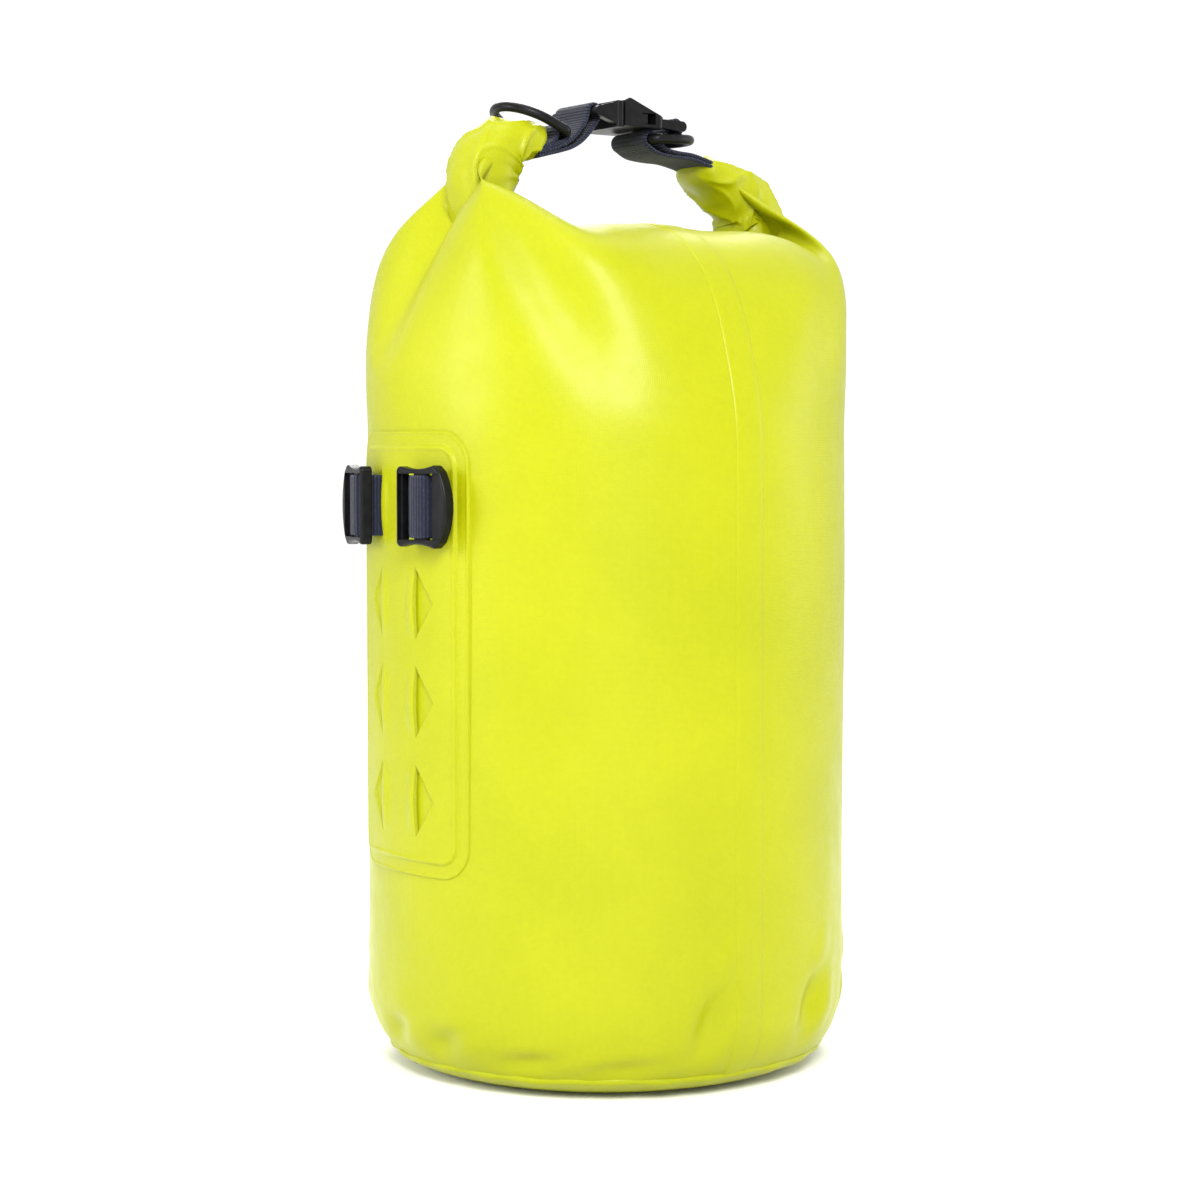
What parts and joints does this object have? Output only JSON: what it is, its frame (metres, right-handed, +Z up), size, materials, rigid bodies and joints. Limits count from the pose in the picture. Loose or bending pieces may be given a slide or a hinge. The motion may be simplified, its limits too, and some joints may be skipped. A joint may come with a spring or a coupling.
{
  "type": "dry bag",
  "caption": "Full, closed roll-top dry bag: cylindrical coated-fabric body, rolled ends clipped into a carry handle, and a lash patch with ladder locks.",
  "frame": {"origin": "centre of the base's flat underside, on the floor", "axes": "+Z up the bag; X along the rolled closure, with the lash patch on the -X side; the lengthways weld is on the -Y side"},
  "size_m": [0.2104, 0.2022, 0.4017],
  "materials": {
    "coated_fabric": "satin thermoplastic coating over a fine plain weave",
    "webbing": "matt ribbed webbing",
    "hard_plastic": "smooth moulded acetal"
  },
  "bodies": {
    "bag": {"body_panel": "coated_fabric", "base_panel": "coated_fabric", "body_weld": "coated_fabric", "patch_backing": "coated_fabric", "patch_face": "coated_fabric", "lash_strap": "webbing", "closure_roll": "coated_fabric", "hem_strap": "webbing", "mouth_stiffener": "hard_plastic"},
    "lock_front": {"ladder_lock_front": "hard_plastic", "lock_loop_front": "webbing"},
    "lock_rear": {"ladder_lock_rear": "hard_plastic", "lock_loop_rear": "webbing"},
    "end_left": {"rolled_end_left": "coated_fabric"},
    "end_right": {"rolled_end_right": "coated_fabric"},
    "buckle_half_left": {"tab_left": "webbing", "buckle_male": "hard_plastic"},
    "buckle_half_right": {"tab_right": "webbing", "buckle_female": "hard_plastic"},
    "prong_front": {"buckle_prong_front": "hard_plastic"},
    "prong_back": {"buckle_prong_back": "hard_plastic"},
    "ring_left": {"d_ring_left": "hard_plastic"},
    "ring_right": {"d_ring_right": "hard_plastic"}
  },
  "joints": [
    {"name": "closure_open", "type": "hinge", "parent": "bag", "child": "end_left", "pos_m": [-0.08, 0, 0.348], "axis": [0, -1, 0], "range_deg": [0, 100], "deforming": ["buckle_prong_front", "buckle_prong_back"]},
    {"name": "end_right_swing", "type": "hinge", "parent": "bag", "child": "end_right", "pos_m": [0.086, 0, 0.348], "axis": [0, 1, 0], "range_deg": [0, 100]},
    {"name": "tab_left_fold", "type": "hinge", "parent": "end_left", "child": "buckle_half_left", "pos_m": [-0.0373, 0, 0.3785], "axis": [0, 1, 0], "range_deg": [0, 100]},
    {"name": "tab_right_fold", "type": "hinge", "parent": "end_right", "child": "buckle_half_right", "pos_m": [0.0433, 0, 0.3785], "axis": [0, -1, 0], "range_deg": [0, 100]},
    {"name": "prong_front_squeeze", "type": "hinge", "parent": "buckle_half_left", "child": "prong_front", "pos_m": [-0.0004, -0.009, 0.3936], "axis": [0, 0, 1], "range_deg": [0, 18], "stiffness_Nm_per_rad": 0.3},
    {"name": "prong_back_squeeze", "type": "hinge", "parent": "buckle_half_left", "child": "prong_back", "pos_m": [-0.0004, 0.009, 0.3936], "axis": [0, 0, -1], "range_deg": [0, 18], "stiffness_Nm_per_rad": 0.3},
    {"name": "ring_left_swing", "type": "hinge", "parent": "buckle_half_left", "child": "ring_left", "pos_m": [-0.029, 0, 0.386], "axis": [0, 1, 0], "range_deg": [-10, 80]},
    {"name": "ring_right_play", "type": "hinge", "parent": "buckle_half_right", "child": "ring_right", "pos_m": [0.0145, 0, 0.386], "axis": [0, -1, 0], "range_deg": [-6, 2]},
    {"name": "lock_front_lift", "type": "hinge", "parent": "bag", "child": "lock_front", "pos_m": [-0.10324, -0.01411, 0.234], "axis": [0, 0, -1], "range_deg": [0, 75]},
    {"name": "lock_rear_lift", "type": "hinge", "parent": "bag", "child": "lock_rear", "pos_m": [-0.10324, 0.01411, 0.234], "axis": [0, 0, 1], "range_deg": [0, 75]}
  ],
  "couplings": [
    {"joint": "end_right_swing", "follows": "closure_open", "ratio": 1},
    {"joint": "tab_left_fold", "follows": "closure_open", "ratio": 1},
    {"joint": "tab_right_fold", "follows": "closure_open", "ratio": 1},
    {"joint": "prong_back_squeeze", "follows": "prong_front_squeeze", "ratio": 1}
  ]
}
